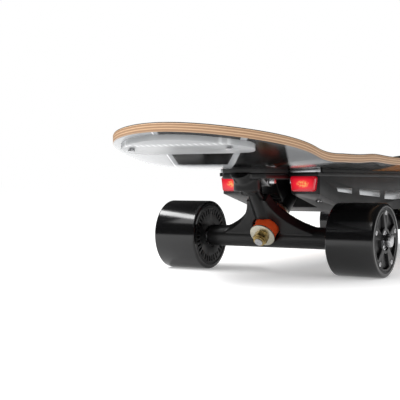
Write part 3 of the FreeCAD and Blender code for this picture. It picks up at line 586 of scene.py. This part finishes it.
def slab_place(point, normal, inset, share):
    """A corner's place in plan: inset from the outline, then drawn in towards the spine."""
    place = point - normal * inset
    if share == 1.0:
        return place
    spine = Vector((max(-SPINE_END_X, min(SPINE_END_X, place.x)), 0, 0))
    return spine + (place - spine) * share


def slab_side(face, ply):
    """The material number of a face: 0 on the rim, 1 underneath and 2 on top."""
    heights = [corner[ply] for corner in face.verts]
    if max(heights) < UNDERSIDE_BELOW:
        return 1
    if min(heights) > TOP_ABOVE:
        return 2
    return 0


def curved_slab(name, lift, thickness, low_radius, high_radius, slab_inset, materials):
    """A slab that follows the deck's curves, with rounded rims and a ply height on each corner."""
    bm = bmesh.new()
    ply = bm.verts.layers.float.new("ply")
    rings = []
    for inset, height, share in slab_loops(thickness, low_radius, high_radius):
        ring = []
        for point, normal in outline_points():
            place = slab_place(point, normal, slab_inset + inset, share)
            z = underside_z(place.x, place.y) + lift + height
            corner = bm.verts.new((place.x, place.y, z))
            corner[ply] = height / thickness
            ring.append(corner)
        rings.append(ring)
    for lower, upper in zip(rings, rings[1:]):
        for index in range(len(lower)):
            after = (index + 1) % len(lower)
            face = bm.faces.new((lower[index], lower[after], upper[after], upper[index]))
            face.smooth = True
            face.material_index = slab_side(face, ply)
    bmesh.ops.remove_doubles(bm, verts=bm.verts, dist=1e-6)
    bmesh.ops.recalc_face_normals(bm, faces=bm.faces)
    mesh = to_mesh(bm, name)
    for material in materials:
        mesh.materials.append(material)
    return add_piece(name, mesh)


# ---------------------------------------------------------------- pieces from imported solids

def body_of_node(node):
    for body, nodes in frame["record"]["behaviour"]["bodies"].items():
        if node in nodes:
            return body
    raise KeyError(node)


def stand_in(piece, node):
    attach(piece, body_of_node(node))
    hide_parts(node)


def settle(piece):
    """Applies a piece's modifiers."""
    graph = bpy.context.evaluated_depsgraph_get()
    mesh = bpy.data.meshes.new_from_object(piece.evaluated_get(graph))
    piece.modifiers.clear()
    piece.data = mesh


def clean_copy(node, suffix):
    """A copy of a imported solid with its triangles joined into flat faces."""
    bm = bmesh.new()
    bm.from_mesh(frame["nodes"][node].data)
    bmesh.ops.remove_doubles(bm, verts=bm.verts, dist=2e-6)
    bmesh.ops.dissolve_limit(bm, angle_limit=math.radians(0.5), verts=bm.verts, edges=bm.edges)
    return add_piece(node + suffix, to_mesh(bm, node + suffix))


def bevelled(node, width, material):
    """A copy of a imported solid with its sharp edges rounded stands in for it."""
    piece = clean_copy(node, ".edged")
    bevel = piece.modifiers.new("bevel", "BEVEL")
    bevel.width = width
    bevel.segments = 2
    bevel.limit_method = "ANGLE"
    bevel.angle_limit = math.radians(40)
    settle(piece)
    smooth_by_angle(piece.data, 35)
    paint(piece, material)
    stand_in(piece, node)


def smooth_by_angle(mesh, degrees):
    bm = bmesh.new()
    bm.from_mesh(mesh)
    for face in bm.faces:
        face.smooth = True
    for edge in bm.edges:
        sharp = len(edge.link_faces) == 2 and edge.calc_face_angle() > math.radians(degrees)
        edge.smooth = not sharp
    bm.to_mesh(mesh)
    bm.free()


def paint(piece, material):
    piece.data.materials.clear()
    piece.data.materials.append(material)


def cast(node, material):
    """A casting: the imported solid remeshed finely, with every edge and corner softened."""
    piece = clean_copy(node, ".cast")
    remesh = piece.modifiers.new("remesh", "REMESH")
    remesh.mode = "VOXEL"
    remesh.voxel_size = 0.0008
    soften = piece.modifiers.new("soften", "SMOOTH")
    soften.factor = 0.5
    soften.iterations = 6
    settle(piece)
    smooth_by_angle(piece.data, 180)
    paint(piece, material)
    stand_in(piece, node)


def lathe(name, profile, centre, side, material):
    """Turns a closed (radius, distance) profile about an axle that runs along Y."""
    bm = bmesh.new()
    rings = []
    for step in range(TYRE_TURN_STEPS):
        angle = 2 * math.pi * step / TYRE_TURN_STEPS
        ring = []
        for radius, distance in profile:
            x = centre[0] + radius * math.sin(angle)
            z = centre[2] + radius * math.cos(angle)
            ring.append(bm.verts.new((x, side * distance, z)))
        rings.append(ring)
    count = len(profile)
    for index, ring in enumerate(rings):
        following = rings[(index + 1) % TYRE_TURN_STEPS]
        for row in range(count):
            up = (row + 1) % count
            bm.faces.new((ring[row], ring[up], following[up], following[row]))
    bmesh.ops.recalc_face_normals(bm, faces=bm.faces)
    mesh = to_mesh(bm, name)
    piece = add_piece(name, mesh)
    smooth_by_angle(mesh, 30)
    paint(piece, material)
    return piece


def rounded_ring(inner, outer, start, end, radius):
    """The outline of a ring whose two outer corners are rounded."""
    profile = [(inner, start)]
    for inset, rise in quarter_arc(radius, TYRE_EDGE_STEPS):
        profile.append((outer - inset, start + rise))
    for inset, rise in quarter_arc(radius, TYRE_EDGE_STEPS):
        profile.append((outer - rise, end - inset))
    profile.append((inner, end))
    return profile


def dress(node, material):
    """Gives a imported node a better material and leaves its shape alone."""
    for slot in frame["nodes"][node].material_slots:
        slot.link = "OBJECT"
        slot.material = material


# ---------------------------------------------------------------- the object's pieces

def build_deck():
    edge = ply_edge()
    deck = curved_slab("deck_plies", 0.0, DECK_THICKNESS, 0.0012, 0.0010, 0.0,
                       [edge, underside_paint(), edge])
    stand_in(deck, "deck")
    tape = grip_tape()
    cover = curved_slab("deck_grip", DECK_THICKNESS + TAPE_GAP, TAPE_THICKNESS - TAPE_GAP,
                        0.0002, 0.0004, TAPE_INSET, [tape, tape, tape])
    stand_in(cover, "grip_tape")


def build_tyres():
    material = tyre_urethane()
    for end in ("rear", "front"):
        for side_name, side in (("left", 1), ("right", -1)):
            node = "%s_%s_tyre" % (end, side_name)
            low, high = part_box(node)
            centre = ((low[0] + high[0]) / 2, 0, (low[2] + high[2]) / 2)
            outer = (high[2] - low[2]) / 2
            near = min(abs(low[1]), abs(high[1]))
            far = max(abs(low[1]), abs(high[1]))
            profile = rounded_ring(TYRE_INNER_RADIUS, outer, near, far, TYRE_EDGE_RADIUS)
            piece = lathe(node + ".cast", profile, centre, side, material)
            stand_in(piece, node)


def build_trucks(steel):
    coat = powder_coat()
    bushing = orange_urethane()
    for end in ("rear", "front"):
        cast(end + "_hanger", coat)
        cast(end + "_baseplate", coat)
        bevelled(end + "_axles", FINE, steel)
        bevelled(end + "_axle_nuts", SMALL, steel)
        bevelled(end + "_bushings", SOFT, bushing)


def build_box(black, silver, rubber):
    bevelled("enclosure_shell", BROAD, moulded_charcoal())
    bevelled("enclosure_flange", SOFT, black)
    bevelled("enclosure_gasket", FINE, rubber)
    bevelled("light_pod_caps", SOFT, silver)
    bevelled("side_windows", FINE, silver)
    bevelled("tail_light_lenses", LENS, red_lamp())
    bevelled("headlight_lenses", LENS, clear_lens())
    bevelled("light_bar_lenses", SOFT, frosted_bar())


def build_fasteners(steel):
    bevelled("kingpin_washers", SMALL, machined_steel("washer_zinc", (0.66, 0.63, 0.52), 0.3))
    bevelled("kingpin_nuts", SMALL, machined_steel("yellow_zinc", (0.55, 0.40, 0.16), 0.28))
    bevelled("housing_screws", CRISP, steel)
    bevelled("truck_bolts", CRISP, machined_steel("black_oxide", (0.05, 0.05, 0.05), 0.35))
    bevelled("truck_nuts", FINE, steel)


def build_fittings(black, silver, rubber):
    bevelled("charge_port_cover", FINE, rubber)
    bevelled("power_button_bezel", FINE, silver)
    bevelled("power_button", FINE, black)
    bevelled("charge_socket", CRISP, black)
    bevelled("motor_cable_glands", FINE, black)
    bevelled("risers", SMALL, rubber)


def build_wheels(steel, black):
    motor = motor_shell()
    screw = cover_screw()
    for side in ("left", "right"):
        bevelled("rear_%s_outer_cover" % side, COVER, motor)
        bevelled("rear_%s_inner_cover" % side, SMALL, motor)
        bevelled("rear_%s_rotor_can" % side, SMALL, motor)
        bevelled("rear_%s_cover_screws" % side, CRISP, screw)
        bevelled("front_%s_core" % side, SOFT, black)
        dress("rear_%s_bearings" % side, steel)
        dress("rear_%s_magnets" % side, steel)
        dress("front_%s_bearings" % side, steel)


def dress_insides(steel, rubber):
    circuit = worn_surface("circuit_green", (0.02, 0.14, 0.06), 0.35)
    dress("lamp_boards", bright_chip_board())
    dress("kingpins", steel)
    dress("pivot_cups", rubber)
    dress("motor_stators", steel)
    dress("motor_windings", machined_steel("copper_wire", (0.72, 0.28, 0.10), 0.3))
    dress("battery_cells", worn_surface("cell_wrap", (0.03, 0.16, 0.42), 0.3))
    dress("battery_spacers", worn_surface("fibre_sheet", (0.55, 0.5, 0.36), 0.7))
    dress("bms_board", circuit)
    dress("esc_board", circuit)


def build_object():
    steel = machined_steel()
    black = moulded_black()
    silver = satin_silver()
    rubber = soft_rubber()
    build_deck()
    build_tyres()
    build_trucks(steel)
    build_box(black, silver, rubber)
    build_fasteners(steel)
    build_fittings(black, silver, rubber)
    build_wheels(steel, black)
    dress_insides(steel, rubber)


# ---------------------------------------------------------------- studio

def build_floor():
    """A wide pale floor with a faint glow of its own, so that it stays white far from the lights."""
    reach = 30.0
    corners = [(-reach, -reach, 0), (reach, -reach, 0), (reach, reach, 0), (-reach, reach, 0)]
    mesh = bpy.data.meshes.new("studio_floor")
    mesh.from_pydata(corners, [], [(0, 1, 2, 3)])
    floor = add_piece("studio_floor", mesh)
    shader = Shader("studio_floor", (0.9, 0.9, 0.9), 0.9)
    shader.set("Specular IOR Level", 0.0)
    shader.set("Emission Color", rgb(1.0, 1.0, 1.0))
    shader.set("Emission Strength", 0.28)
    paint(floor, shader.material)


def add_area_light(name, place, target, size, power):
    light = bpy.data.lights.new(name, "AREA")
    light.shape = "RECTANGLE"
    light.size, light.size_y = size
    light.energy = power
    lamp = bpy.data.objects.new(name, light)
    lamp.location = place
    lamp.rotation_euler = (Vector(target) - Vector(place)).to_track_quat("-Z", "Y").to_euler()
    bpy.context.scene.collection.objects.link(lamp)


def build_world():
    """A white room that lights the board evenly but shows only dimly in its glossy surfaces."""
    diffuse_level = 0.8
    glossy_level = 0.06
    world = bpy.data.worlds.new("studio")
    bpy.context.scene.world = world
    world.use_nodes = True
    nodes = world.node_tree.nodes
    links = world.node_tree.links
    background = nodes["Background"]
    background.inputs["Color"].default_value = rgb(1.0, 1.0, 1.0)
    path = nodes.new("ShaderNodeLightPath")
    level = nodes.new("ShaderNodeMapRange")
    level.inputs["To Min"].default_value = diffuse_level
    level.inputs["To Max"].default_value = glossy_level
    links.new(path.outputs["Is Glossy Ray"], level.inputs["Value"])
    seen = nodes.new("ShaderNodeMath")
    seen.operation = "MAXIMUM"
    links.new(path.outputs["Is Camera Ray"], seen.inputs[0])
    links.new(level.outputs[0], seen.inputs[1])
    links.new(seen.outputs[0], background.inputs["Strength"])


def build_lights():
    """A long strip overhead on the left, and a soft panel behind the tail."""
    add_area_light("strip", (-1.0, 1.05, 1.65), (-0.25, 0, 0.05), (2.2, 0.3), 30.0)
    add_area_light("tail_side", (-1.9, 0.7, 1.8), (-0.4, 0, 0.1), (1.6, 1.0), 12.0)
    bpy.context.scene.view_settings.view_transform = "Standard"


def build_camera():
    """Low behind the tail, to the right of it, looking a little down."""
    place = (-1.2323, -0.4983, 0.1051)
    heading = math.radians(31.2)
    pitch = math.radians(-1.06)
    look = Vector((math.cos(pitch) * math.cos(heading),
                   math.cos(pitch) * math.sin(heading),
                   math.sin(pitch)))
    data = bpy.data.cameras.new("camera")
    data.sensor_width = 36.0
    data.lens = 84.4
    data.clip_end = 200.0
    camera = bpy.data.objects.new("camera", data)
    camera.location = place
    camera.rotation_euler = look.to_track_quat("-Z", "Y").to_euler()
    bpy.context.scene.collection.objects.link(camera)
    bpy.context.scene.camera = camera


build_object()
build_floor()
build_world()
build_lights()
build_camera()
